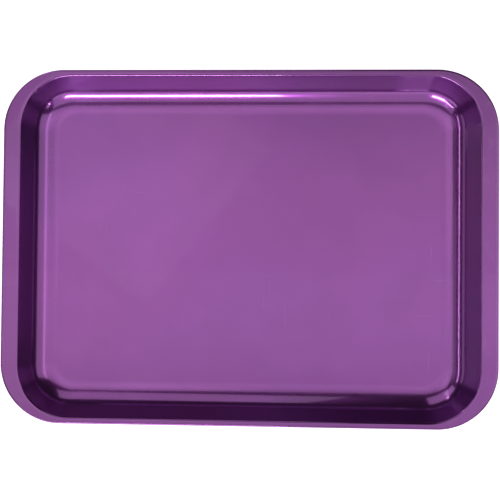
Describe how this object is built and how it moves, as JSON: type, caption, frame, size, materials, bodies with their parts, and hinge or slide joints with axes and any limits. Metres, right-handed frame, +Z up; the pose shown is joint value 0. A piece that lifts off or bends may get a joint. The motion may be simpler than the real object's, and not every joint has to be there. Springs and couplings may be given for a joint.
{
  "type": "dental set-up tray",
  "caption": "Flat, shallow rectangular tray with rounded corners, sloping walls and a flat rim, for laying out dental instruments.",
  "frame": {"origin": "under the middle of the tray, on the plane that its foot ring stands on", "axes": "+X along the tray's long side, +Y across it, +Z up out of the well"},
  "size_m": [0.3398, 0.2444, 0.0222],
  "materials": {
    "tray_plastic": "gloss, with a finely textured floor"
  },
  "bodies": {
    "root": {"tray": "tray_plastic"}
  },
  "joints": []
}
